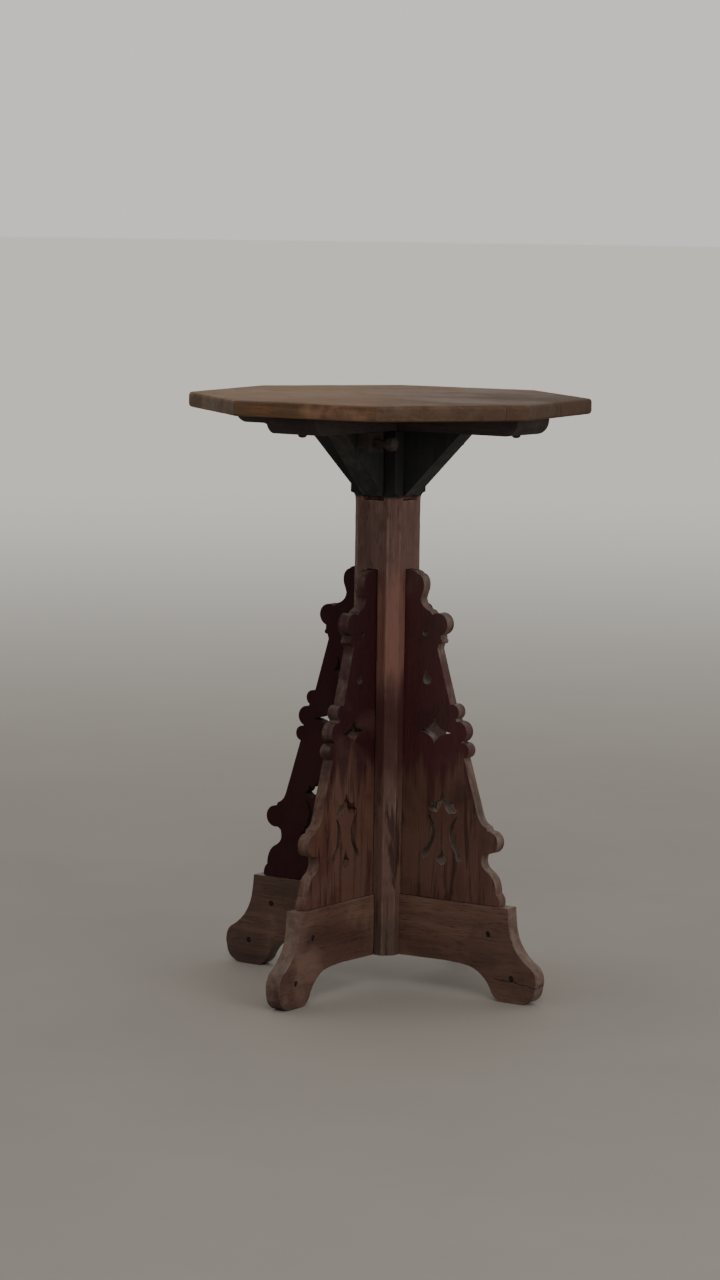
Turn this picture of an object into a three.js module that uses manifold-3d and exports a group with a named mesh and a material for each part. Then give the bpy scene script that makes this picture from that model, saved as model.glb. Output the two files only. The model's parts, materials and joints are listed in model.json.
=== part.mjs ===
// A tilt top table. An octagonal top of four planks is screwed to two crossed bearers. The
// bearers rest on four brackets at the head of a square post, and two cheeks under the back
// bearer turn on a pin through the back bracket, so the top tips up to stand on edge. Below,
// four pierced fret boards and four foot boards are housed in the post's faces.
// Millimetres, +Z up, origin on the floor under the post. Front is -Y and right is +X.
import * as THREE from "three";
import { mergeVertices } from "three/addons/utils/BufferGeometryUtils.js";
import Module from "manifold-3d";

const wasm = await Module();
wasm.setup();

// Whole table
const tableHeight = 720;
const gap = 0.3; // between two pieces that touch
const past = 5; // how far a cutter runs past the face it opens
const roundSides = 16;
const curveSteps = 7;

// Top
const topAcrossFlats = 450;
const topThickness = 19;
const topTurn = 8; // degrees that the planks lie off the bearers
const topRounding = 4;
const topRoundingSteps = 2;
const plankCount = 4;

// Bearers, crossed and halved into each other
const bearerWidth = 70.5;
const bearerThickness = 21;
const bearerReach = 205; // from the post's axis to the end
const bearerNose = 18; // radius under the end
const bearerScrewInset = 6; // from where the nose begins

// Screws that hold the bearers and the cheeks
const screwShank = 5;
const screwHead = 11;
const screwHeadHeight = 3.5;
const screwSlot = 1.2;
const screwDomeSteps = 3;
const screwBite = 12; // depth in the wood above

// Post
const postWidth = 66;
const postBottom = 40;
const postChamfer = 11;
const chamferStop = 10; // height of the scooped end of a chamfer
const chamferStopBelowHousing = 2;
const housingDepth = 10;

// Brackets under the bearers
const bracketThickness = 30;
const bracketHeight = 80;
const bracketSpread = 79.75; // beyond the post's face
const bracketSeat = 5; // open height under a bracket in its housing

// Fret boards
const fretThickness = 15;
const neckLength = 84; // plain post between a fret board and a bracket's housing
const fretReach = 142; // of the bottom edge, out from the post's face
const fretDowelPlaces = [32, 104]; // out from the post's face

// Foot boards
const footThickness = 20;
const footHeight = 114.3;
const footReach = 196; // of the toe, out from the post's face
const footPinPlaces = [
  { name: "upper", out: 127, up: 80 },
  { name: "lower", out: 161, up: 30 },
];
const footPin = 6.4;
const footPinRecess = 1.5;
const dowel = 8;
const dowelBite = 14; // depth in each of the two boards

// Pivot at the back bracket
const pivotPin = 10;
const pivotDrop = 12; // from the bearer's underside down to the pin's axis
const pivotInset = 17; // from the bracket's tip in to the pin's axis
const pivotHead = 16;
const pivotHeadThickness = 3.5;
const stopLength = 20; // upright edge that the tipped bearer comes to rest on
const cheekThickness = 18;
const cheekLength = 40;
const cheekHeight = 24;
const cheekScrewSpacing = 27;

// Lock at the front bracket: a square draw peg with a turned knob, in a keeper block
const keeperLength = 30;
const keeperFromTip = 35; // from the bracket's tip in to the peg's axis
const lockPeg = 8; // square
const lockPegPlay = 1; // clear round the peg in the bracket's hole
const lockPegDrop = 13; // from the bearer's underside down to the peg's axis
const lockTravel = 16;
const lockPegSetBack = 1.5; // of the drawn peg's tip from the keeper's inner face
const lockKnob = 19;
const lockKnobLength = 14;
const keeperScrewSpacing = 20;

// What follows from the sizes above
const postFace = postWidth / 2;
const bearerTop = tableHeight - topThickness - gap;
const bearerBottom = bearerTop - bearerThickness + gap;
const headTop = bearerBottom - gap; // top of the post and of the brackets
const bracketBottom = headTop - bracketHeight;
const bracketHousingFloor = bracketBottom - bracketSeat;
const fretBottom = footHeight + gap;
const fretTop = bracketHousingFloor - neckLength;
const fretHeight = fretTop - fretBottom;
const bracketTip = postFace + bracketSpread;
const pivotOut = bracketTip - pivotInset;
const pivotHeight = bearerBottom - pivotDrop;
const cheekInner = bracketThickness / 2 + gap;
const cheekOuter = cheekInner + cheekThickness;
const wings = [
  { name: "front", angle: -90 },
  { name: "right", angle: 0 },
  { name: "back", angle: 90 },
  { name: "left", angle: 180 },
];

const radians = THREE.MathUtils.degToRad;

const finish = (colour, roughness, metalness = 0) => () =>
  new THREE.MeshStandardMaterial({ color: colour, roughness, metalness });
const topWood = finish(0x7b5a3c, 0.6);
const darkWood = finish(0x4a342c, 0.65);
const shadowWood = finish(0x33261f, 0.7);
const dowelWood = finish(0x9a7650, 0.8);
const iron = finish(0x2b2826, 0.55, 0.8);

// Solids

function solidOf(geometry) {
  const bare = geometry.index ? geometry.toNonIndexed() : geometry.clone();
  bare.deleteAttribute("normal");
  bare.deleteAttribute("uv");
  const merged = mergeVertices(bare, 1e-3);
  return new wasm.Manifold(
    new wasm.Mesh({
      numProp: 3,
      vertProperties: merged.attributes.position.array,
      triVerts: new Uint32Array(merged.index.array),
    }),
  );
}

function geometryOf(solid) {
  const mesh = solid.getMesh();
  const geometry = new THREE.BufferGeometry();
  geometry.setAttribute("position", new THREE.BufferAttribute(mesh.vertProperties, 3));
  geometry.setIndex(new THREE.BufferAttribute(mesh.triVerts, 1));
  const faceted = geometry.toNonIndexed();
  faceted.computeVertexNormals();
  return faceted;
}

const cut = (solid, cutters) => cutters.reduce((left, cutter) => left.subtract(cutter), solid);

function box(low, high) {
  const size = high.map((value, axis) => value - low[axis]);
  const middle = high.map((value, axis) => (value + low[axis]) / 2);
  return solidOf(new THREE.BoxGeometry(...size).translate(...middle));
}

// A round rod between two heights, standing at (x, y).
function uprightRod(diameter, x, y, bottom, top) {
  const rod = new THREE.CylinderGeometry(diameter / 2, diameter / 2, top - bottom, roundSides);
  return solidOf(rod.rotateX(Math.PI / 2).translate(x, y, (bottom + top) / 2));
}

// A round rod along Y through a board that lies in the XZ plane.
function crossRod(diameter, x, z, length) {
  const rod = new THREE.CylinderGeometry(diameter / 2, diameter / 2, length, roundSides);
  return solidOf(rod.translate(x, 0, z));
}

// A square rod along Y.
const squareRod = (side, x, z, length) =>
  box([x - side / 2, -length / 2, z - side / 2], [x + side / 2, length / 2, z + side / 2]);

// An outline in X and Z, given thickness along Y and centred on the XZ plane.
function boardOf(shape, thickness) {
  const board = new THREE.ExtrudeGeometry(shape, {
    depth: thickness,
    bevelEnabled: false,
    curveSegments: curveSteps,
  });
  return solidOf(board.translate(0, 0, -thickness / 2).rotateX(Math.PI / 2));
}

// A turned piece about the Z axis, from a profile of [radius, height] pairs that starts and
// ends on the axis.
function turned(profile) {
  const points = profile.map(([radius, height]) => new THREE.Vector2(radius, height));
  return solidOf(new THREE.LatheGeometry(points, roundSides).rotateX(Math.PI / 2));
}

const table = new THREE.Group();
table.name = "tilt_top_table";
const base = new THREE.Group();
const tiltingTop = new THREE.Group();
table.add(base, tiltingTop);

function place(group, name, solid, material, position = [0, 0, 0]) {
  const mesh = new THREE.Mesh(geometryOf(solid), material());
  mesh.name = name;
  mesh.position.set(...position);
  group.add(mesh);
}

// A group turned so that its +X runs out along one wing.
function wingGroup(parent, angle) {
  const group = new THREE.Group();
  group.rotation.z = radians(angle);
  parent.add(group);
  return group;
}

// Screws: a domed slotted head at the bottom and a shank that rises into the wood above.

function screwSolid(length) {
  const shankRadius = screwShank / 2;
  const headRadius = screwHead / 2;
  const dome = [];
  for (let step = 0; step <= screwDomeSteps; step++) {
    const lean = (Math.PI / 2) * (step / screwDomeSteps);
    dome.push([headRadius * Math.sin(lean), -screwHeadHeight * Math.cos(lean)]);
  }
  const tip = [
    [shankRadius, 0],
    [shankRadius, length - shankRadius],
    [0, length],
  ];
  const slotDepth = screwHeadHeight / 2;
  const slot = box(
    [-screwSlot / 2, -headRadius - 1, -screwHeadHeight - 1],
    [screwSlot / 2, headRadius + 1, -screwHeadHeight + slotDepth],
  );
  dome[0][0] = 0;
  return turned([...dome, ...tip]).subtract(slot);
}

const screwHole = (x, y, bottom, top) =>
  uprightRod(screwShank + 2 * gap, x, y, bottom, top + gap);

// Post: a square with stopped chamfers, housed on each face for a foot board, a fret board
// and a bracket.

function postSolid() {
  const blank = box([-postFace, -postFace, postBottom], [postFace, postFace, headTop]);
  const cornerOut = postFace * Math.SQRT2;
  const chamferOut = cornerOut - postChamfer / Math.SQRT2;
  const stopTop = bracketHousingFloor - chamferStopBelowHousing + chamferStop;
  const scoop = new THREE.Shape();
  scoop.moveTo(chamferOut, postBottom - past);
  scoop.lineTo(cornerOut + past, postBottom - past);
  scoop.lineTo(cornerOut + past, stopTop);
  scoop.lineTo(cornerOut, stopTop);
  scoop.quadraticCurveTo(chamferOut, stopTop, chamferOut, stopTop - chamferStop);
  const chamferCutter = boardOf(scoop, 2 * cornerOut);
  const inner = postFace - housingDepth;
  const outer = postFace + past;
  const housings = [
    { width: footThickness, bottom: postBottom - past, top: footHeight + gap },
    { width: fretThickness, bottom: footHeight, top: fretTop + gap },
    { width: bracketThickness, bottom: bracketHousingFloor, top: headTop + past },
  ];
  const cutters = [];
  for (const { angle } of wings) {
    cutters.push(chamferCutter.rotate([0, 0, angle + 45]));
    for (const { width, bottom, top } of housings) {
      const side = width / 2 + gap;
      cutters.push(box([inner, -side, bottom], [outer, side, top]).rotate([0, 0, angle]));
    }
  }
  return cut(blank, cutters);
}

// Foot boards: a level upper edge, a hollow down to the toe and a low arch back to the post.

// The outline is drawn out from the post's face, with offsets as shares of the toe's reach.
const drawnFootReach = 200.3; // the reach at which the offsets below were set out
const footOut = (offset) => postFace + (offset / drawnFootReach) * footReach;

function footShape() {
  const shape = new THREE.Shape();
  const inner = postFace + gap - housingDepth;
  shape.moveTo(inner, postBottom);
  shape.lineTo(footOut(64.3), postBottom + 1);
  shape.quadraticCurveTo(footOut(102.3), postBottom + 1, footOut(112.3), postBottom - 5);
  shape.quadraticCurveTo(footOut(128.3), 27, footOut(134.8), 13);
  shape.quadraticCurveTo(footOut(139.3), 3, footOut(149.3), 0);
  shape.lineTo(footOut(177.3), 0);
  shape.quadraticCurveTo(footOut(192.8), 2, footOut(197.8), 14);
  shape.lineTo(footOut(drawnFootReach), 27);
  shape.quadraticCurveTo(footOut(drawnFootReach), 39, footOut(193.3), 45);
  shape.quadraticCurveTo(footOut(162.3), 62, footOut(159.3), 97);
  shape.lineTo(footOut(157.8), footHeight);
  shape.lineTo(inner, footHeight);
  return shape;
}

function footSolid() {
  const holes = footPinPlaces.map(({ out, up }) =>
    crossRod(footPin + 2 * gap, postFace + out, up, footThickness + past),
  );
  const dowelHoles = fretDowelPlaces.map((out) =>
    uprightRod(
      dowel + 2 * gap,
      postFace + out,
      0,
      footHeight - dowelBite - gap,
      footHeight + past,
    ),
  );
  return cut(boardOf(footShape(), footThickness), [...holes, ...dowelHoles]);
}

// Fret boards: an outer edge of lobes joined by straight tapers, and a row of piercings.
// The outline is drawn out from the post's face and up from the foot board, in shares of the
// board's reach and height, so that the design keeps its spacing on a longer or taller board.

const drawnFretReach = 144.8; // the reach and height at which the shares below were set out
const drawnFretHeight = 396.4;
const out = (offset) => postFace + (offset / drawnFretReach) * fretReach;
const up = (level) => fretBottom + (level / drawnFretHeight) * fretHeight;

function lobe(shape, offset, level, radius, from, to) {
  shape.absarc(out(offset), up(level), radius, radians(from), radians(to), false);
}

function fretShape() {
  const shape = new THREE.Shape();
  const inner = postFace + gap - housingDepth;
  shape.moveTo(inner, up(0));
  shape.lineTo(out(143.3), up(0));
  shape.quadraticCurveTo(out(drawnFretReach), up(10), out(138.3), up(15));
  shape.lineTo(out(138.3), up(19));
  shape.quadraticCurveTo(out(136.3), up(35), out(125.3), up(40));
  shape.quadraticCurveTo(out(113.3), up(47), out(118.3), up(60));
  lobe(shape, 126.3, 76, 13.5, -105, 95);
  shape.lineTo(out(122.8), up(94));
  shape.quadraticCurveTo(out(113.3), up(96.5), out(109.7), up(109.2));
  lobe(shape, 86.3, 183.7, 9.5, -75, 100);
  lobe(shape, 79.3, 205.7, 12.7, -65, 98);
  lobe(shape, 70.8, 229.1, 9.5, -60, 110);
  shape.lineTo(out(47.7), up(304));
  lobe(shape, 50.8, 313, 3.2, -110, 60);
  lobe(shape, 47.8, 333.7, 13.5, -72, 125);
  shape.lineTo(out(35.7), up(349));
  shape.quadraticCurveTo(out(23.3), up(352), out(21.8), up(363));
  shape.quadraticCurveTo(out(23.3), up(368), out(25.8), up(374));
  shape.quadraticCurveTo(out(28.3), up(386), out(20.8), up(391.5));
  shape.lineTo(out(17.3), up(393));
  shape.quadraticCurveTo(out(14.3), up(drawnFretHeight), out(7.3), up(drawnFretHeight));
  shape.lineTo(inner, up(drawnFretHeight));
  shape.holes = [
    keyHole(),
    dropHole(),
    starHole(),
    archHole(),
    leafHole(),
    scrollHole(1),
    scrollHole(-1),
  ];
  return shape;
}

function keyHole() {
  const hole = new THREE.Path();
  hole.absarc(out(29.3), up(321.5), 3.4, 0, 2 * Math.PI, true);
  return hole;
}

// A drop with its point upwards.
function dropHole() {
  const hole = new THREE.Path();
  hole.moveTo(out(33.3), up(283));
  hole.quadraticCurveTo(out(32.3), up(273), out(38.3), up(267));
  hole.absarc(out(33.3), up(265.5), 5.6, radians(15), radians(165), true);
  hole.quadraticCurveTo(out(30.3), up(275), out(33.3), up(283));
  return hole;
}

// Four points joined by hollow sides.
function starHole() {
  const hole = new THREE.Path();
  const reach = 24;
  const rise = 16;
  const middle = [out(45.3), up(203.5)];
  const hollow = [3.4, 2.4];
  const corners = [
    [reach, 0],
    [0, -rise],
    [-reach, 0],
    [0, rise],
  ];
  const pulls = [
    [hollow[0], -hollow[1]],
    [-hollow[0], -hollow[1]],
    [-hollow[0], hollow[1]],
    [hollow[0], hollow[1]],
  ];
  hole.moveTo(middle[0] + reach, middle[1]);
  pulls.forEach(([across, along], index) => {
    const [x, y] = corners[(index + 1) % corners.length];
    hole.quadraticCurveTo(middle[0] + across, middle[1] + along, middle[0] + x, middle[1] + y);
  });
  return hole;
}

// The tracery stands about one upright line; across and level are measured from it.
const traceryOut = 58.8;

// A pointed arch that ends in a cusp at each side.
function archHole() {
  const hole = new THREE.Path();
  const at = (across, level) => [out(traceryOut + across), up(level)];
  hole.moveTo(...at(0, 131));
  hole.quadraticCurveTo(...at(5.3, 118), ...at(12.3, 117));
  hole.quadraticCurveTo(...at(15, 121), ...at(15.8, 118));
  hole.quadraticCurveTo(...at(17.6, 111), ...at(22, 110));
  hole.quadraticCurveTo(...at(15.8, 104), ...at(8.4, 106));
  hole.quadraticCurveTo(...at(2.2, 112), ...at(0, 121));
  hole.quadraticCurveTo(...at(-2.2, 112), ...at(-8.4, 106));
  hole.quadraticCurveTo(...at(-15.8, 104), ...at(-22, 110));
  hole.quadraticCurveTo(...at(-17.6, 111), ...at(-15.8, 118));
  hole.quadraticCurveTo(...at(-15, 121), ...at(-12.3, 117));
  hole.quadraticCurveTo(...at(-5.3, 118), ...at(0, 131));
  return hole;
}

// A three-lobed leaf under the arch.
function leafHole() {
  const hole = new THREE.Path();
  const at = (across, level) => [out(traceryOut + across), up(level)];
  hole.moveTo(...at(0, 65));
  hole.quadraticCurveTo(...at(1, 55), ...at(8, 49));
  hole.quadraticCurveTo(...at(6, 43), ...at(0, 42));
  hole.quadraticCurveTo(...at(-6, 43), ...at(-8, 49));
  hole.quadraticCurveTo(...at(-1, 55), ...at(0, 65));
  return hole;
}

// A slot that curves in to a waist and out again to a round foot; side is 1 or -1.
function scrollHole(side) {
  const hole = new THREE.Path();
  const at = (across, level) => [out(traceryOut + side * across), up(level)];
  hole.moveTo(...at(22, 103));
  hole.quadraticCurveTo(...at(12, 96), ...at(10, 82));
  hole.quadraticCurveTo(...at(10, 72), ...at(20, 57));
  hole.quadraticCurveTo(...at(20, 47), ...at(26, 47));
  hole.quadraticCurveTo(...at(31, 50), ...at(28, 57));
  hole.quadraticCurveTo(...at(17, 70), ...at(16, 82));
  hole.quadraticCurveTo(...at(16, 93), ...at(22, 103));
  return hole;
}

function fretSolid() {
  const dowelHoles = fretDowelPlaces.map((offset) =>
    uprightRod(
      dowel + 2 * gap,
      postFace + offset,
      0,
      fretBottom - past,
      fretBottom + dowelBite + gap,
    ),
  );
  return cut(boardOf(fretShape(), fretThickness), dowelHoles);
}

const dowelSolid = (offset) =>
  uprightRod(dowel, postFace + offset, 0, footHeight - dowelBite, fretBottom + dowelBite);

const footPinSolid = ({ out: offset, up: height }) =>
  crossRod(footPin, postFace + offset, height, footThickness - 2 * footPinRecess);

// Brackets: a straight sloping edge from the post up to the bearer's underside. The back one
// has a rounded head about the pivot, and an upright stop below it.

function bracketShape() {
  const shape = new THREE.Shape();
  const inner = postFace - housingDepth + gap;
  shape.moveTo(inner, bracketBottom);
  shape.lineTo(postFace + gap, bracketBottom);
  shape.lineTo(bracketTip, headTop - gap);
  shape.lineTo(bracketTip, headTop);
  shape.lineTo(inner, headTop);
  return shape;
}

function backBracketShape() {
  const shape = new THREE.Shape();
  const inner = postFace - housingDepth + gap;
  const headRadius = pivotDrop - gap;
  const stopBottom = pivotHeight - stopLength;
  const slopeAt = (height) =>
    postFace + (bracketSpread * (height - bracketBottom)) / bracketHeight;
  const returnHeight = stopBottom - headRadius;
  shape.moveTo(inner, bracketBottom);
  shape.lineTo(postFace + gap, bracketBottom);
  shape.lineTo(slopeAt(returnHeight), returnHeight);
  shape.lineTo(pivotOut + headRadius, stopBottom);
  shape.absarc(pivotOut, pivotHeight, headRadius, 0, Math.PI / 2, false);
  shape.lineTo(inner, headTop);
  return shape;
}

const keeperOut = bracketTip - keeperFromTip;
const lockHeight = bearerBottom - lockPegDrop;

function bracketSolid(name) {
  if (name === "back") {
    const pinHole = crossRod(pivotPin + 2 * gap, pivotOut, pivotHeight, bracketThickness + past);
    return cut(boardOf(backBracketShape(), bracketThickness), [pinHole]);
  }
  const bracket = boardOf(bracketShape(), bracketThickness);
  if (name !== "front") return bracket;
  const holeSide = lockPeg + 2 * lockPegPlay;
  const pegHole = squareRod(holeSide, keeperOut, lockHeight, bracketThickness + past);
  return cut(bracket, [pegHole]);
}

// Bearers, laid out along X. The lower half of one crossing is cut away, and the upper half
// of the other.

const bearerScrewOut = bearerReach - bearerNose - bearerScrewInset;

function bearerSolid(cutLow, cutHigh, extraScrews) {
  const shape = new THREE.Shape();
  shape.moveTo(-bearerReach, bearerTop);
  shape.lineTo(-bearerReach, bearerBottom + bearerNose);
  shape.absarc(
    -bearerReach + bearerNose,
    bearerBottom + bearerNose,
    bearerNose,
    Math.PI,
    1.5 * Math.PI,
    false,
  );
  shape.absarc(
    bearerReach - bearerNose,
    bearerBottom + bearerNose,
    bearerNose,
    1.5 * Math.PI,
    2 * Math.PI,
    false,
  );
  shape.lineTo(bearerReach, bearerTop);
  const side = bearerWidth / 2 + gap;
  const halving = box([-side, -side, cutLow], [side, side, cutHigh]);
  const holes = [bearerScrewOut, -bearerScrewOut].map((x) =>
    screwHole(x, 0, bearerBottom - past, bearerTop + past),
  );
  const blindHoles = extraScrews.map(([x, y]) =>
    screwHole(x, y, bearerBottom - past, bearerBottom + screwBite),
  );
  return cut(boardOf(shape, bearerWidth), [halving, ...holes, ...blindHoles]);
}

// Pivot cheeks and the keeper block hang under the bearer, each on two screws.

const cheekMiddle = (cheekInner + cheekOuter) / 2;
const counterbore = screwHeadHeight + 1;

function hangingBlock(outAt, length, spacing) {
  const top = bearerBottom - gap;
  const bottom = top - cheekHeight;
  const block = box(
    [outAt - length / 2, -cheekThickness / 2, bottom],
    [outAt + length / 2, cheekThickness / 2, top],
  );
  const holes = [-spacing / 2, spacing / 2].flatMap((along) => [
    screwHole(outAt + along, 0, bottom - past, top + past),
    uprightRod(screwHead + 2 * gap, outAt + along, 0, bottom - past, bottom + counterbore),
  ]);
  return cut(block, holes);
}

const hangingScrewBase = bearerBottom - gap - cheekHeight + counterbore - gap;
const hangingScrewLength = bearerBottom + screwBite - gap - hangingScrewBase;

// Top planks: the octagon with rounded arrises, sawn into strips along its turned X axis.

function topSolid() {
  const corner = topAcrossFlats / 2 / Math.cos(Math.PI / 8);
  const shape = new THREE.Shape();
  for (let side = 0; side < 8; side++) {
    const angle = (side + 0.5) * (Math.PI / 4);
    const [x, y] = [corner * Math.cos(angle), corner * Math.sin(angle)];
    if (side === 0) shape.moveTo(x, y);
    else shape.lineTo(x, y);
  }
  const octagon = new THREE.ExtrudeGeometry(shape, {
    depth: topThickness - 2 * topRounding,
    bevelThickness: topRounding,
    bevelSize: topRounding,
    bevelOffset: -topRounding,
    bevelSegments: topRoundingSteps,
  });
  const lift = tableHeight - topThickness + topRounding;
  return solidOf(octagon.translate(0, 0, lift)).rotate([0, 0, topTurn]);
}

function plankSolid(index, holes) {
  const width = topAcrossFlats / plankCount;
  const low = -topAcrossFlats / 2 + index * width;
  const first = index === 0;
  const last = index === plankCount - 1;
  const strip = box(
    [-topAcrossFlats, first ? low - past : low + gap / 2, 0],
    [topAcrossFlats, last ? low + width + past : low + width - gap / 2, tableHeight + past],
  ).rotate([0, 0, topTurn]);
  return cut(topSolid().intersect(strip), holes);
}

// The fixed base

place(base, "post", postSolid(), darkWood);
for (const { name, angle } of wings) {
  const wing = wingGroup(base, angle);
  place(wing, "foot_" + name, footSolid(), darkWood);
  place(wing, "fret_" + name, fretSolid(), darkWood);
  place(wing, "bracket_" + name, bracketSolid(name), shadowWood);
  for (const pin of footPinPlaces) {
    place(wing, "foot_pin_" + name + "_" + pin.name, footPinSolid(pin), iron);
  }
  fretDowelPlaces.forEach((offset, index) => {
    const label = index === 0 ? "_inner" : "_outer";
    place(wing, "fret_dowel_" + name + label, dowelSolid(offset), dowelWood);
  });
}

// The tilting top

const bearerScrewBottom = bearerBottom - gap;
const bearerScrewLength = bearerTop + gap + screwBite - bearerScrewBottom;
const bearerScrew = screwSolid(bearerScrewLength);
const plankHoles = [];
for (const { name, angle } of wings) {
  const wing = wingGroup(tiltingTop, angle);
  place(wing, "bearer_screw_" + name, bearerScrew, iron, [bearerScrewOut, 0, bearerScrewBottom]);
  const x = bearerScrewOut * Math.cos(radians(angle));
  const y = bearerScrewOut * Math.sin(radians(angle));
  plankHoles.push(screwHole(x, y, bearerTop - past, bearerTop + gap + screwBite));
}

for (let index = 0; index < plankCount; index++) {
  place(tiltingTop, "top_plank_" + (index + 1), plankSolid(index, plankHoles), topWood);
}

const halvingHeight = (bearerTop + bearerBottom) / 2;
const sideBearer = wingGroup(tiltingTop, 0);
place(
  sideBearer,
  "bearer_across",
  bearerSolid(bearerBottom - past, halvingHeight + gap / 2, []),
  shadowWood,
);

// Seen from the back, a cheek stands at each side of the bracket.
const cheekScrewPlaces = [-cheekScrewSpacing / 2, cheekScrewSpacing / 2];
const hangingScrews = [];
for (const side of [1, -1]) {
  for (const along of cheekScrewPlaces) {
    hangingScrews.push([pivotOut + along, side * cheekMiddle]);
  }
}
const keeperScrewPlaces = [-keeperScrewSpacing / 2, keeperScrewSpacing / 2];
for (const along of keeperScrewPlaces) {
  hangingScrews.push([-keeperOut + along, -cheekMiddle]);
}
const backBearer = wingGroup(tiltingTop, 90);
place(
  backBearer,
  "bearer_lengthwise",
  bearerSolid(halvingHeight - gap / 2, bearerTop + past, hangingScrews),
  shadowWood,
);

const hangingScrew = screwSolid(hangingScrewLength);
const cheekBlank = hangingBlock(pivotOut, cheekLength, cheekScrewSpacing);
const cheekPinHole = crossRod(
  pivotPin + 2 * gap,
  pivotOut,
  pivotHeight,
  cheekThickness + past,
);
const cheek = cut(cheekBlank, [cheekPinHole]);
for (const [label, side] of [
  ["left", 1],
  ["right", -1],
]) {
  place(backBearer, "pivot_cheek_" + label, cheek, shadowWood, [0, side * cheekMiddle, 0]);
  cheekScrewPlaces.forEach((along, index) => {
    place(
      backBearer,
      "pivot_cheek_screw_" + label + "_" + (index + 1),
      hangingScrew,
      iron,
      [pivotOut + along, side * cheekMiddle, hangingScrewBase],
    );
  });
}

// Pivot pin: a head against one cheek, and a washer and riveted end against the other.
const pinRadius = pivotPin / 2;
const pinInner = cheekOuter + gap;
const washerOuter = pinInner + pivotHeadThickness;
const pivotPinSolid = turned([
  [0, -pinInner - pivotHeadThickness],
  [pivotHead / 2 - 1, -pinInner - pivotHeadThickness],
  [pivotHead / 2, -pinInner - pivotHeadThickness + 1],
  [pivotHead / 2, -pinInner],
  [pinRadius, -pinInner],
  [pinRadius, washerOuter + 1],
  [pinRadius - 1, washerOuter + 2],
  [0, washerOuter + 2],
]).rotate([-90, 0, 0]);
place(backBearer, "pivot_pin", pivotPinSolid, iron, [pivotOut, 0, pivotHeight]);

const washerBlank = crossRod(pivotHead, 0, 0, pivotHeadThickness);
const washerHole = crossRod(pivotPin + 2 * gap, 0, 0, pivotHeadThickness + past);
place(backBearer, "pivot_washer", washerBlank.subtract(washerHole), iron, [
  pivotOut,
  pinInner + pivotHeadThickness / 2,
  pivotHeight,
]);

// Lock: the keeper block beside the front bracket, and the peg that slides through it.
const frontWing = wingGroup(tiltingTop, -90);
const keeperPegHole = squareRod(lockPeg + 2 * gap, keeperOut, lockHeight, cheekThickness + past);
const keeper = cut(hangingBlock(keeperOut, keeperLength, keeperScrewSpacing), [keeperPegHole]);
place(frontWing, "lock_keeper", keeper, shadowWood, [0, cheekMiddle, 0]);
keeperScrewPlaces.forEach((along, index) => {
  place(frontWing, "lock_keeper_screw_" + (index + 1), hangingScrew, iron, [
    keeperOut + along,
    cheekMiddle,
    hangingScrewBase,
  ]);
});

const pegTip = cheekInner + lockPegSetBack;
const knobStart = cheekOuter + lockTravel + gap;
const knobRadius = lockKnob / 2;
const pegSide = lockPeg / 2;
const pegShaft = box([-pegSide, pegTip, -pegSide], [pegSide, knobStart + 1, pegSide]);
const pegKnob = turned([
  [0, knobStart],
  [knobRadius * 0.8, knobStart],
  [knobRadius, knobStart + lockKnobLength * 0.45],
  [knobRadius * 0.85, knobStart + lockKnobLength * 0.85],
  [knobRadius * 0.4, knobStart + lockKnobLength],
  [0, knobStart + lockKnobLength],
]).rotate([-90, 0, 0]);
const pegSolid = pegShaft.add(pegKnob);
place(frontWing, "lock_peg", pegSolid, darkWood, [keeperOut, 0, lockHeight]);

export default table;
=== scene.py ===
# Looks for the tilt top table: every visible piece of wood and iron is rebuilt from the frame
# with broken arrises and hand-worked faces, then stained, worn and dusted by its own material.
# Metres, +Z up, origin on the floor under the post.
import json
import math

import bmesh
import bpy
from mathutils import Matrix, Vector, noise


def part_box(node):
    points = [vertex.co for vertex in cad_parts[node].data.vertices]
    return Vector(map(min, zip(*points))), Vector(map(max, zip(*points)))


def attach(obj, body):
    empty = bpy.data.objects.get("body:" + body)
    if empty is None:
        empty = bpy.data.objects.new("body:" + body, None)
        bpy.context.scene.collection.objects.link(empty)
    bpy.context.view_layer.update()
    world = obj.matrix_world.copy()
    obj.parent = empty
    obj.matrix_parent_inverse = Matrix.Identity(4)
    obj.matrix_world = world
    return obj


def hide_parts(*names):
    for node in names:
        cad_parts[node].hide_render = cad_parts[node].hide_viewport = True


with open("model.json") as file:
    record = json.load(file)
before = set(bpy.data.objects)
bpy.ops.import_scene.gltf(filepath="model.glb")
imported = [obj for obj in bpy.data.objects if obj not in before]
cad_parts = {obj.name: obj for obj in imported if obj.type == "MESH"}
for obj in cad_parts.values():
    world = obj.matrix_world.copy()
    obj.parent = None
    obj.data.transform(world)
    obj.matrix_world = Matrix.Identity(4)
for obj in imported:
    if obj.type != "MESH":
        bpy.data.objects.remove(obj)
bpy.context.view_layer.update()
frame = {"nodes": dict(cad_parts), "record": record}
cadNodes = frame["nodes"]
bodies = frame["record"]["behaviour"]["bodies"]
bodyOf = {node: body for body, nodes in bodies.items() for node in nodes}
slotOf = {part["node"]: part["material_slot"] for part in frame["record"]["subparts"]}
wings = {"front": -90, "right": 0, "back": 90, "left": 180}  # degrees round the post
print("loaded", len(cadNodes), "nodes")


# Camera, a little above the top, facing the corner between the front and the right wing

viewpoint = dict(
    distance=4.7,
    height=0.974,
    around=33.99,  # degrees from the front towards the right
    aside=0.385,  # degrees that the view turns off the post
    down=6.70,
    roll=0.81,
    lens=109.6,
)


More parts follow.
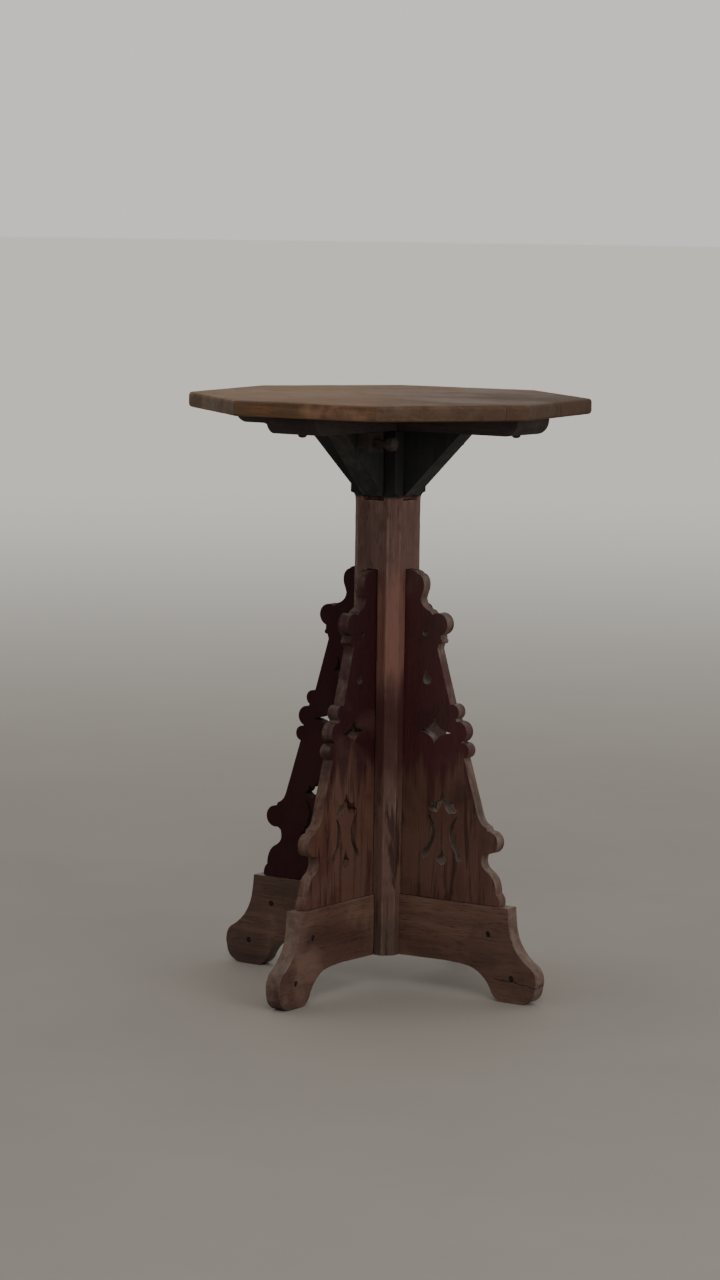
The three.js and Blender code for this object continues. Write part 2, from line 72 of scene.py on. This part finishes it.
def makeCamera(look):
    data = bpy.data.cameras.new("view")
    data.lens = look["lens"]
    data.sensor_width = 36
    data.clip_start = 0.1
    data.clip_end = 200
    around = math.radians(look["around"])
    heading = around + math.radians(look["aside"])
    down = math.radians(look["down"])
    roll = math.radians(look["roll"])
    level = math.cos(down)
    forward = Vector((-math.sin(heading) * level, math.cos(heading) * level, -math.sin(down)))
    levelRight = Vector((math.cos(heading), math.sin(heading), 0))
    levelUp = levelRight.cross(forward)
    right = math.cos(roll) * levelRight + math.sin(roll) * levelUp
    up = math.cos(roll) * levelUp - math.sin(roll) * levelRight
    turn = Matrix((right, up, -forward)).transposed().to_4x4()
    place = Vector((math.sin(around), -math.cos(around), 0)) * look["distance"]
    place.z = look["height"]
    camera = bpy.data.objects.new("view", data)
    camera.matrix_world = Matrix.Translation(place) @ turn
    bpy.context.scene.collection.objects.link(camera)
    bpy.context.scene.camera = camera


makeCamera(viewpoint)
print("camera set")


# Node helpers


class NodeTree:
    def __init__(self, tree):
        tree.nodes.clear()
        self.tree = tree

    def add(self, kind, inputs=None, **settings):
        node = self.tree.nodes.new(kind)
        for name, value in settings.items():
            setattr(node, name, value)
        for name, value in (inputs or {}).items():
            socket = node.inputs[name]
            if isinstance(value, bpy.types.NodeSocket):
                self.tree.links.new(value, socket)
            else:
                socket.default_value = value
        return node

    def math(self, operation, first, second=0.0):
        node = self.add("ShaderNodeMath", {0: first, 1: second}, operation=operation)
        return node.outputs[0]

    def times(self, first, second):
        return self.math("MULTIPLY", first, second)

    def plus(self, first, second):
        return self.math("ADD", first, second)

    def vector(self, operation, first, second, output):
        node = self.add("ShaderNodeVectorMath", {0: first, 1: second}, operation=operation)
        return node.outputs[output]

    def mix(self, share, first, second):
        node = self.tree.nodes.new("ShaderNodeMix")
        node.data_type = "RGBA"
        for index, value in ((0, share), (6, first), (7, second)):
            if isinstance(value, bpy.types.NodeSocket):
                self.tree.links.new(value, node.inputs[index])
            elif index == 0:
                node.inputs[index].default_value = value
            else:
                node.inputs[index].default_value = (*value, 1)
        return node.outputs[2]

    def noise(self, place, scale, detail=3, roughness=0.55, distortion=0.0):
        node = self.add(
            "ShaderNodeTexNoise",
            {
                "Vector": place,
                "Scale": scale,
                "Detail": detail,
                "Roughness": roughness,
                "Distortion": distortion,
            },
        )
        return node.outputs["Fac"]

    def span(self, value, low, high, toLow=0.0, toHigh=1.0):
        node = self.add(
            "ShaderNodeMapRange",
            {"Value": value, "From Min": low, "From Max": high, "To Min": toLow, "To Max": toHigh},
            interpolation_type="SMOOTHSTEP",
        )
        return node.outputs[0]

    def ramp(self, value, stops):
        node = self.add("ShaderNodeValToRGB", {"Fac": value})
        points = node.color_ramp.elements
        while len(points) < len(stops):
            points.new(0.5)
        for point, (place, colour) in zip(points, stops):
            point.position = place
            point.color = (*colour, 1)
        return node.outputs["Color"]


# Wood: colours in linear light, lengths in metres. The grain runs along one axis of the piece.
# Each pair is where a noise starts and finishes showing.

woodSteps = dict(
    figureShare=0.55, streakShare=0.45, tones=(0.34, 0.5, 0.66), pores=(0.56, 0.7), poreRough=0.08,
    ragged=(0.35, 0.62), runs=(0.53, 0.61), bleached=(0.5, 0.68), grimy=(0.46, 0.32),
    spotted=(0.3, 0.55), spotLeast=0.5, spotCore=0.45, rubScale=34, rubbed=(0.36, 0.6), rubLeast=0.15,
    worn=(0.35, 0.62), wanderScale=70, crackCore=0.4, rough=(0.3, 0.7),
    speckScale=260, poreSink=-0.6, streakRise=0.9, speckRise=0.25, reliefDepth=0.0006,
)

def woodMaterial(name, look, grain, shift):
    material = bpy.data.materials.new(name)
    material.use_nodes = True
    tree = NodeTree(material.node_tree)
    steps = woodSteps
    place = tree.add("ShaderNodeTexCoord").outputs["Object"]
    turned = tree.add("ShaderNodeMapping", {"Vector": place, "Rotation": grain["turn"]}).outputs[0]
    along = tree.add(
        "ShaderNodeMapping", {"Vector": turned, "Location": shift, "Scale": grain["stretch"]}
    ).outputs[0]
    apart = tree.add("ShaderNodeMapping", {"Vector": place, "Location": shift}).outputs[0]
    worked = tree.add("ShaderNodeAttribute", attribute_name="worked")
    masks = tree.add("ShaderNodeSeparateColor", {"Color": worked.outputs["Color"]}).outputs
    arris, rim, endGrain = masks[0], masks[1], masks[2]

    figure = tree.noise(along, look["figureScale"], 4, 0.6, 0.6)
    streak = tree.noise(along, look["streakScale"], 5, 0.65, 0.2)
    pores = tree.noise(along, look["poreScale"], 2, 0.5)
    blotch = tree.noise(apart, look["blotchScale"], 4, 0.6, 0.4)
    speck = tree.noise(apart, steps["speckScale"], 3, 0.6)

    tone = tree.plus(tree.times(figure, steps["figureShare"]), tree.times(streak, steps["streakShare"]))
    body = tree.ramp(tone, list(zip(steps["tones"], (look["dark"], look["middle"], look["light"]))))
    poreMask = tree.span(pores, *steps["pores"])
    body = tree.mix(tree.times(poreMask, look["poreDepth"]), body, look["pore"])
    height = tree.add("ShaderNodeSeparateXYZ", {"Vector": place}).outputs[2]
    finger = tree.math("SUBTRACT", tree.noise(along, look["fingerScale"], 3, 0.6), 0.5)

    def addBands(colour, patches):
        for patch in patches:
            level = tree.plus(height, tree.times(finger, patch["fingers"]))
            rise = tree.span(level, patch["low"] - patch["fade"], patch["low"] + patch["fade"])
            fall = tree.span(level, patch["high"] - patch["fade"], patch["high"] + patch["fade"], 1, 0)
            inside = tree.times(rise, fall)
            share = tree.times(inside, tree.span(blotch, *steps["ragged"], patch["least"], 1.0))
            colour = tree.mix(tree.times(share, patch["share"]), colour, patch["colour"])
            if "runs" in patch:  # thin streaks where the stain has run down the grain
                runs = tree.span(tree.noise(along, look["runScale"], 4, 0.65, 1.1), *steps["runs"])
                runs = tree.times(inside, runs)
                colour = tree.mix(tree.times(runs, patch["runShare"]), colour, patch["runs"])
        return colour

    body = addBands(body, look["bands"])
    bleached = tree.span(blotch, *steps["bleached"])
    body = tree.mix(tree.times(bleached, look["bleachShare"]), body, look["bleach"])
    grimy = tree.span(blotch, *steps["grimy"])
    body = tree.mix(tree.times(grimy, look["grimeShare"]), body, look["grime"])
    for spot in look["spots"]:
        away = tree.vector("DISTANCE", place, spot["at"], "Value")
        near = tree.span(away, spot["radius"], spot["radius"] * steps["spotCore"])
        near = tree.times(near, tree.span(blotch, *steps["spotted"], steps["spotLeast"], 1.0))
        body = tree.mix(tree.times(near, spot["share"]), body, spot["colour"])

    rubbing = tree.noise(apart, steps["rubScale"], 3, 0.6)
    rubbed = tree.span(rubbing, *steps["rubbed"], steps["rubLeast"], 1.0)
    worn = tree.ramp(streak, list(zip(steps["worn"], (look["wornDark"], look["wornLight"]))))
    rimShare = tree.times(tree.times(rim, rubbed), look["rimShare"])
    body = tree.mix(rimShare, body, worn)
    arrisShare = tree.times(tree.times(arris, rubbed), look["arrisShare"])
    body = tree.mix(arrisShare, body, worn)
    body = tree.mix(tree.times(endGrain, look["endShare"]), body, look["endColour"])
    body = addBands(body, look["overBands"])
    if look["crack"]:
        crack = look["crack"]
        offset = tree.vector("SUBTRACT", place, crack["start"], 0)
        drop = tree.vector("DOT_PRODUCT", offset, crack["across"], "Value")
        run = tree.vector("DOT_PRODUCT", offset, crack["along"], "Value")
        wander = tree.math("SUBTRACT", tree.noise(place, steps["wanderScale"], 2, 0.6), 0.5)
        wander = tree.times(wander, crack["wander"])
        line = tree.math("ABSOLUTE", tree.plus(drop, wander))
        line = tree.span(line, crack["width"], crack["width"] * steps["crackCore"])
        line = tree.times(line, tree.span(run, 0.0, crack["fade"]))
        body = tree.mix(tree.times(line, crack["share"]), body, crack["colour"])

    rough = tree.plus(
        tree.span(blotch, *steps["rough"], look["roughLow"], look["roughHigh"]),
        tree.times(poreMask, steps["poreRough"]),
    )
    relief = tree.plus(
        tree.times(poreMask, steps["poreSink"]),
        tree.plus(tree.times(streak, steps["streakRise"]), tree.times(speck, steps["speckRise"])),
    )
    bump = tree.add(
        "ShaderNodeBump", {"Height": relief, "Strength": look["bump"], "Distance": steps["reliefDepth"]}
    )
    shader = tree.add(
        "ShaderNodeBsdfPrincipled",
        {
            "Base Color": body,
            "Roughness": rough,
            "Normal": bump.outputs[0],
            "Specular IOR Level": look["specular"],
        },
    )
    tree.add("ShaderNodeOutputMaterial", {"Surface": shader.outputs[0]})
    return material


def grainAlong(axis, turnZ=0.0, stretch=0.07):
    scale = [1.0, 1.0, 1.0]
    scale[axis] = stretch
    return dict(turn=(0, 0, -math.radians(turnZ)), stretch=scale)


def ironMaterial(name, look, shift):
    material = bpy.data.materials.new(name)
    material.use_nodes = True
    tree = NodeTree(material.node_tree)
    coordinates = tree.add("ShaderNodeTexCoord").outputs["Object"]
    place = tree.add("ShaderNodeMapping", {"Vector": coordinates, "Location": shift}).outputs[0]
    rust = tree.noise(place, 420, 5, 0.7)
    worked = tree.add("ShaderNodeAttribute", attribute_name="worked")
    arris = tree.add("ShaderNodeSeparateColor", {"Color": worked.outputs["Color"]}).outputs[0]
    colour = tree.ramp(rust, [(0.35, look["black"]), (0.55, look["brown"]), (0.7, look["rust"])])
    colour = tree.mix(tree.times(arris, look["arrisShare"]), colour, look["bright"])
    bump = tree.add("ShaderNodeBump", {"Height": rust, "Strength": 0.5, "Distance": 0.0003})
    shader = tree.add(
        "ShaderNodeBsdfPrincipled",
        {
            "Base Color": colour,
            "Roughness": tree.span(rust, 0.3, 0.7, look["roughLow"], look["roughHigh"]),
            "Metallic": look["metal"],
            "Normal": bump.outputs[0],
        },
    )
    tree.add("ShaderNodeOutputMaterial", {"Surface": shader.outputs[0]})
    return material


# Shaping: a copy of a node's mesh, with its flats made whole, its arrises broken and its faces
# cut into a fine grid and taken down a little unevenly, always inwards


def wholeMesh(node):
    source = cadNodes[node].data
    mesh = bmesh.new()
    corners = [mesh.verts.new(vertex.co) for vertex in source.vertices]
    for face in source.polygons:
        mesh.faces.new([corners[index] for index in face.vertices])
    bmesh.ops.remove_doubles(mesh, verts=mesh.verts, dist=2e-6)
    bmesh.ops.dissolve_limit(
        mesh, angle_limit=math.radians(0.6), verts=mesh.verts, edges=mesh.edges,
        use_dissolve_boundaries=False,
    )
    mesh.normal_update()
    return mesh


def shapePiece(node, shape, grain):
    mesh = wholeMesh(node)
    masks = mesh.loops.layers.float_color.new("worked")
    boardAxis = grain.get("thickness")
    endAxis = grain.get("ends")
    for face in mesh.faces:
        isRim = boardAxis is not None and abs(face.normal.dot(boardAxis)) < 0.7
        isEnd = endAxis is not None and abs(face.normal.dot(endAxis)) > 0.7
        for loop in face.loops:
            loop[masks] = (0, float(isRim), float(isEnd), 1)
    sharp = [
        edge
        for edge in mesh.edges
        if len(edge.link_faces) == 2 and edge.calc_face_angle(0) > math.radians(shape["sharpAngle"])
    ]
    made = bmesh.ops.bevel(
        mesh, geom=sharp, offset=shape["arris"], offset_type="OFFSET", segments=shape["arrisSteps"],
        profile=0.5, affect="EDGES", clamp_overlap=True,
    )
    for face in made["faces"]:
        for loop in face.loops:
            was = loop[masks]
            loop[masks] = (1, was[1], was[2], 1)
    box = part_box(node)
    for axis, step in enumerate(shape["grid"]):
        if step is None:
            continue
        low, high = box[0][axis], box[1][axis]
        count = int((high - low) / step)
        for index in range(1, count):
            at = Vector((0, 0, 0))
            at[axis] = low + (high - low) * index / count
            normal = Vector((0, 0, 0))
            normal[axis] = 1
            everything = mesh.verts[:] + mesh.edges[:] + mesh.faces[:]
            bmesh.ops.bisect_plane(mesh, geom=everything, dist=1e-6, plane_co=at, plane_no=normal)
    mesh.normal_update()
    for vertex in mesh.verts:
        place = vertex.co + Vector(grain["shift"])
        broad = 0.5 + 0.5 * noise.noise(place * shape["waveScale"])
        fine = max(0.0, noise.noise(place * shape["dentScale"] + Vector((7, 3, 5))))
        vertex.co -= vertex.normal * (shape["wave"] * broad + shape["dent"] * fine)
    made = bpy.data.meshes.new(node + "_worked")
    mesh.to_mesh(made)
    mesh.free()
    made.shade_smooth()
    return made


def addPiece(node, shape, grain, material):
    piece = bpy.data.objects.new(node + "_worked", shapePiece(node, shape, grain))
    bpy.context.scene.collection.objects.link(piece)
    piece.data.materials.append(material)
    smooth = piece.modifiers.new("evenShading", "WEIGHTED_NORMAL")
    smooth.weight = 80
    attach(piece, bodyOf[node])
    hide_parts(node)
    return piece


def pieceShift(index):
    return (index * 0.731 % 5, index * 1.377 % 7, index * 0.419 % 3)


# Top: four planks of oiled mid brown oak, dry and greyed where things have stood

topLook = dict(
    dark=(0.070, 0.033, 0.014), middle=(0.135, 0.066, 0.029), light=(0.21, 0.115, 0.056),
    pore=(0.035, 0.018, 0.010), poreDepth=0.55,
    bleach=(0.24, 0.150, 0.083), bleachShare=0.5, grime=(0.055, 0.030, 0.017), grimeShare=0.45,
    wornDark=(0.050, 0.026, 0.014), wornLight=(0.105, 0.058, 0.032), rimShare=0.85, arrisShare=0.4,
    endColour=(0.04, 0.022, 0.014), endShare=0.4,
    figureScale=16, streakScale=95, poreScale=700, blotchScale=9, fingerScale=40, runScale=60,
    roughLow=0.5, roughHigh=0.72, bump=0.5, specular=0.22, bands=[], overBands=[], crack=None,
    spots=[
        dict(at=(0.30, 0.04, 0.72), radius=0.34, colour=(0.062, 0.031, 0.016), share=0.85),
        dict(at=(-0.18, -0.05, 0.73), radius=0.24, colour=(0.24, 0.145, 0.080), share=0.45),
        dict(at=(0.078, -0.215, 0.711), radius=0.05, colour=(0.20, 0.105, 0.068), share=0.8),
    ],
)
topShape = dict(
    arris=0.0007, arrisSteps=2, sharpAngle=34, grid=(0.014, 0.014, None),
    wave=0.0002, waveScale=22, dent=0.0003, dentScale=90,
)
topTurn = 8  # degrees that the planks lie off the bearers
for index in range(4):
    node = "top_plank_" + str(index + 1)
    grain = grainAlong(0, topTurn, 0.06)
    grain["shift"] = pieceShift(index + 1)
    plankAcross = math.radians(topTurn)
    grain["ends"] = Vector((math.cos(plankAcross), math.sin(plankAcross), 0))
    grain["thickness"] = Vector((0, 0, 1))
    addPiece(node, topShape, grain, woodMaterial(node, topLook, grain, grain["shift"]))
print("top planks done")


# Bearers, brackets, cheeks and keeper: nearly black, dull and unpolished; the near-black is dark stain plus
# painted shade from the top above them

# near-black colours: dark stain with the shade under the top painted in
headStainAndShade = dict(
    dark=(0.007, 0.0075, 0.008), middle=(0.013, 0.0135, 0.014), light=(0.023, 0.023, 0.024),
    pore=(0.003, 0.003, 0.003), poreDepth=0.5,
    bleach=(0.020, 0.019, 0.019), bleachShare=0.3, grime=(0.005, 0.005, 0.005), grimeShare=0.5,
    wornDark=(0.020, 0.018, 0.017), wornLight=(0.05, 0.044, 0.04), rimShare=0.6, arrisShare=0.75,
    endColour=(0.02, 0.012, 0.01), endShare=0.3,
    figureScale=18, streakScale=110, poreScale=700, blotchScale=11, fingerScale=40, runScale=60,
    roughLow=0.55, roughHigh=0.78, bump=0.5, specular=0.25, bands=[], overBands=[], crack=None, spots=[],
)
bearerLook = dict(
    headStainAndShade, dark=(0.019, 0.014, 0.013), middle=(0.032, 0.022, 0.020), light=(0.058, 0.038, 0.034),
    rimShare=0.25,
)
headShape = dict(
    arris=0.0011, arrisSteps=2, sharpAngle=34, grid=(0.016, 0.016, 0.016),
    wave=0.00025, waveScale=25, dent=0.0004, dentScale=80,
)
for index, (node, axis) in enumerate((("bearer_across", 0), ("bearer_lengthwise", 1))):
    grain = grainAlong(axis)
    grain["shift"] = pieceShift(index + 11)
    grain["ends"] = Vector((1, 0, 0)) if axis == 0 else Vector((0, 1, 0))
    addPiece(node, headShape, grain, woodMaterial(node, bearerLook, grain, grain["shift"]))
for index, (name, angle) in enumerate(wings.items()):
    node = "bracket_" + name
    grain = grainAlong(2)
    grain["shift"] = pieceShift(index + 21)
    grain["thickness"] = Vector((0, 1, 0)) if angle in (0, 180) else Vector((1, 0, 0))
    addPiece(node, headShape, grain, woodMaterial(node, headStainAndShade, grain, grain["shift"]))
smallShape = dict(headShape, arris=0.0009, grid=(0.01, 0.01, 0.01))
for index, node in enumerate(("pivot_cheek_left", "pivot_cheek_right", "lock_keeper", "lock_peg")):
    grain = grainAlong(1 if node.startswith("pivot") else 0)
    grain["shift"] = pieceShift(index + 31)
    addPiece(node, smallShape, grain, woodMaterial(node, bearerLook, grain, grain["shift"]))
print("bearers, brackets, cheeks and lock done")


# Post, frets and feet: a red-brown stain, deepest in the middle, dry and brown near the floor

stainLook = dict(
    dark=(0.030, 0.010, 0.009), middle=(0.056, 0.021, 0.017), light=(0.090, 0.042, 0.031),
    pore=(0.012, 0.005, 0.005), poreDepth=0.5,
    bleach=(0.095, 0.056, 0.042), bleachShare=0.3, grime=(0.018, 0.008, 0.007), grimeShare=0.5,
    wornDark=(0.060, 0.036, 0.027), wornLight=(0.19, 0.145, 0.115), rimShare=0.6, arrisShare=0.8,
    endColour=(0.05, 0.03, 0.02), endShare=0.2,
    figureScale=20, streakScale=120, poreScale=800, blotchScale=10, fingerScale=52, runScale=70,
    roughLow=0.42, roughHigh=0.66, bump=0.6, specular=0.35, spots=[], overBands=[], crack=None,
    bands=[
        dict(
            low=0.27, high=0.51, fade=0.015, fingers=0.22,
            colour=(0.046, 0.0060, 0.009), share=0.95, least=0.75,
        ),
        dict(
            low=-0.1, high=0.26, fade=0.015, fingers=0.22,
            colour=(0.115, 0.054, 0.036), share=0.65, least=0.3,
            runs=(0.028, 0.007, 0.006), runShare=0.75,
        ),
    ],
)
# the left wing is dark down to the foot, a dark stain with painted shade on the side away from the lamps,
# and the front one is darker at the top, the painted shadow of the top
leftStainAndShade = dict(
    stainLook, dark=(0.016, 0.004, 0.004), middle=(0.027, 0.007, 0.007), light=(0.042, 0.014, 0.013),
    roughLow=0.6, roughHigh=0.8, specular=0.15, bleachShare=0.1, wornLight=(0.12, 0.085, 0.07),
    rimShare=0.45,
    bands=[
        dict(
            low=0.10, high=0.53, fade=0.02, fingers=0.12,
            colour=(0.026, 0.0035, 0.006), share=0.9, least=0.7,
        ),
    ],
)
frontStainAndShadow = dict(
    stainLook, rimShare=0.4, specular=0.2,
    bands=[
        # near-black band: painted shadow of the top on the front fret
        dict(
            low=0.27, high=0.56, fade=0.015, fingers=0.22,
            colour=(0.024, 0.0035, 0.006), share=0.97, least=0.85,
        ),
        stainLook["bands"][1],
    ],
)
postLook = dict(
    stainLook, dark=(0.068, 0.033, 0.028), middle=(0.114, 0.060, 0.051), light=(0.175, 0.102, 0.086),
    wornDark=(0.060, 0.032, 0.023), wornLight=(0.26, 0.18, 0.13), arrisShare=0.6, streakScale=90,
    grimeShare=0.35, fingerScale=60, roughLow=0.6, roughHigh=0.8, specular=0.2,
    bands=[
        dict(
            low=0.38, high=0.50, fade=0.015, fingers=0.06,
            colour=(0.21, 0.098, 0.075), share=0.75, least=0.6,
            runs=(0.060, 0.018, 0.011), runShare=0.45,
        ),
        dict(
            low=0.27, high=0.38, fade=0.02, fingers=0.10,
            colour=(0.085, 0.030, 0.026), share=0.8, least=0.7,
        ),
        dict(
            low=-0.1, high=0.27, fade=0.02, fingers=0.10,
            colour=(0.130, 0.075, 0.058), share=0.6, least=0.4,
            runs=(0.032, 0.009, 0.007), runShare=0.7,
        ),
    ],
    overBands=[
        # painted shadow of the top across the head of the post, as black as the brackets between them
        dict(
            low=0.598, high=0.75, fade=0.002, fingers=0.0,
            colour=(0.010, 0.010, 0.011), share=0.97, least=1.0,
        ),
        dict(
            low=0.36, high=0.50, fade=0.03, fingers=0.06,
            colour=(0.115, 0.050, 0.038), share=0.4, least=0.7,
        ),
        dict(
            low=0.25, high=0.37, fade=0.025, fingers=0.10,
            colour=(0.030, 0.007, 0.007), share=0.8, least=0.8,
        ),
        dict(
            low=-0.1, high=0.25, fade=0.025, fingers=0.10,
            colour=(0.066, 0.035, 0.027), share=0.5, least=0.7,
            runs=(0.020, 0.007, 0.006), runShare=0.6,
        ),
        dict(
            low=-0.1, high=0.085, fade=0.012, fingers=0.03,
            colour=(0.036, 0.030, 0.022), share=0.6, least=0.5,
        ),
    ],
)
footLook = dict(
    stainLook, dark=(0.052, 0.024, 0.017), middle=(0.090, 0.045, 0.032), light=(0.145, 0.080, 0.058),
    bleach=(0.17, 0.105, 0.078), bleachShare=0.5, grimeShare=0.3, rimShare=0.45, streakScale=90, bands=[],
)
litRightFoot = dict(  # paler, partly painted light on the lit right side, with a crack across the toe
    footLook, dark=(0.070, 0.035, 0.025), middle=(0.115, 0.060, 0.043), light=(0.165, 0.094, 0.068),
    crack=dict(
        start=(0.165, 0, 0.029), across=(0.10, 0, 0.995), along=(1, 0, 0), wander=0.012, width=0.0011,
        fade=0.012, colour=(0.012, 0.006, 0.005), share=0.85,
    ),
)
# darker feet for the front and left wings: painted shade on the sides away from the lamps
shadedFoot = dict(
    footLook, dark=(0.040, 0.018, 0.013), middle=(0.076, 0.036, 0.026), light=(0.125, 0.066, 0.047),
)
# the steps in tone from wing to wing are painted light and shade laid over the stain
footOf = dict(front=shadedFoot, right=litRightFoot, back=footLook, left=shadedFoot)
stainOf = dict(front=frontStainAndShadow, right=stainLook, back=stainLook, left=leftStainAndShade)
boardShape = dict(
    arris=0.0012, arrisSteps=2, sharpAngle=36, grid=(0.012, 0.012, 0.012),
    wave=0.0003, waveScale=22, dent=0.0005, dentScale=75,
)
grain = grainAlong(2)
grain["shift"] = pieceShift(41)
addPiece("post", boardShape, grain, woodMaterial("post", postLook, grain, grain["shift"]))
for index, (name, angle) in enumerate(wings.items()):
    across = Vector((0, 1, 0)) if angle in (0, 180) else Vector((1, 0, 0))
    fretGrain = grainAlong(2)
    fretGrain.update(shift=pieceShift(index + 51), thickness=across)
    node = "fret_" + name
    addPiece(node, boardShape, fretGrain, woodMaterial(node, stainOf[name], fretGrain, fretGrain["shift"]))
    footGrain = grainAlong(0 if angle in (0, 180) else 1)
    footGrain.update(shift=pieceShift(index + 61), thickness=across)
    node = "foot_" + name
    addPiece(node, boardShape, footGrain, woodMaterial(node, footOf[name], footGrain, footGrain["shift"]))
print("post, frets and feet done")


# Iron pins and screws, and the raw dowels inside the joints

ironLook = dict(
    black=(0.012, 0.011, 0.010), brown=(0.03, 0.022, 0.017), rust=(0.07, 0.036, 0.02),
    bright=(0.10, 0.09, 0.08), arrisShare=0.4, roughLow=0.4, roughHigh=0.75, metal=0.7,
)
ironShape = dict(
    arris=0.0003, arrisSteps=2, sharpAngle=34, grid=(None, None, None),
    wave=0.00005, waveScale=200, dent=0.0001, dentScale=400,
)
dowelLook = dict(
    topLook, dark=(0.20, 0.12, 0.06), middle=(0.32, 0.2, 0.11), light=(0.42, 0.28, 0.17), bleachShare=0.1,
    spots=[],
)
for index, node in enumerate(sorted(cadNodes)):
    grain = grainAlong(2)
    grain["shift"] = pieceShift(index + 71)
    if slotOf[node] == "iron":
        addPiece(node, ironShape, grain, ironMaterial(node, ironLook, grain["shift"]))
    elif slotOf[node] == "dowel_oak":
        addPiece(node, ironShape, grain, woodMaterial(node, dowelLook, grain, grain["shift"]))
print("pins, screws and dowels done")


# Floor and light

studio = dict(
    floorSize=60, floorNear=(0.30, 0.275, 0.25), floorFar=(0.97, 0.955, 0.925), nearEnds=1.0, farStarts=8.0,
    skyPale=(0.86, 0.84, 0.79), skyDim=(0.44, 0.44, 0.43), skyStrength=0.92, paleFrom=(-0.83, 0.56, 0),
    sunStrength=0.6, sunAngle=20, sunColour=(1.0, 0.95, 0.88), sunFrom=(0.7, -1.0, 1.0),
    fillStrength=70, fillSize=2.4, fillPlace=(4.0, -1.3, 1.3), fillColour=(1.0, 0.96, 0.91),
)


def makeFloor(look):
    mesh = bmesh.new()
    bmesh.ops.create_circle(mesh, cap_ends=True, segments=64, radius=look["floorSize"])
    made = bpy.data.meshes.new("floor")
    mesh.to_mesh(made)
    mesh.free()
    floor = bpy.data.objects.new("floor", made)
    bpy.context.scene.collection.objects.link(floor)
    material = bpy.data.materials.new("floor")
    material.use_nodes = True
    tree = NodeTree(material.node_tree)
    place = tree.add("ShaderNodeTexCoord").outputs["Object"]
    cloud = tree.noise(place, 3.0, 4, 0.6)
    colour = tree.ramp(cloud, [(0.3, [c * 0.93 for c in look["floorNear"]]), (0.7, look["floorNear"])])
    away = tree.vector("LENGTH", place, (0, 0, 0), "Value")
    colour = tree.mix(tree.span(away, look["nearEnds"], look["farStarts"]), colour, look["floorFar"])
    shader = tree.add("ShaderNodeBsdfPrincipled", {"Base Color": colour, "Roughness": 0.85})
    tree.add("ShaderNodeOutputMaterial", {"Surface": shader.outputs[0]})
    made.materials.append(material)


def aimAt(light, place, target):
    light.location = place
    light.rotation_mode = "QUATERNION"
    light.rotation_quaternion = (Vector(place) - Vector(target)).to_track_quat("Z", "Y")
    bpy.context.scene.collection.objects.link(light)


def makeLights(look):
    world = bpy.data.worlds.new("studio")
    world.use_nodes = True
    tree = NodeTree(world.node_tree)
    toward = tree.add("ShaderNodeTexCoord").outputs["Generated"]
    toPale = tree.vector("DOT_PRODUCT", toward, look["paleFrom"], "Value")
    colour = tree.mix(tree.span(toPale, -0.5, 0.5), look["skyDim"], look["skyPale"])
    sky = tree.add("ShaderNodeBackground", {"Color": colour, "Strength": look["skyStrength"]})
    tree.add("ShaderNodeOutputWorld", {"Surface": sky.outputs[0]})
    bpy.context.scene.world = world
    sunData = bpy.data.lights.new("sun", "SUN")
    sunData.energy = look["sunStrength"]
    sunData.angle = math.radians(look["sunAngle"])
    sunData.color = look["sunColour"]
    aimAt(bpy.data.objects.new("sun", sunData), look["sunFrom"], (0, 0, 0))
    fillData = bpy.data.lights.new("fill", "AREA")
    fillData.energy = look["fillStrength"]
    fillData.size = look["fillSize"]
    fillData.color = look["fillColour"]
    aimAt(bpy.data.objects.new("fill", fillData), look["fillPlace"], (0, 0, 0.4))


makeFloor(studio)
makeLights(studio)
print("floor and light done")
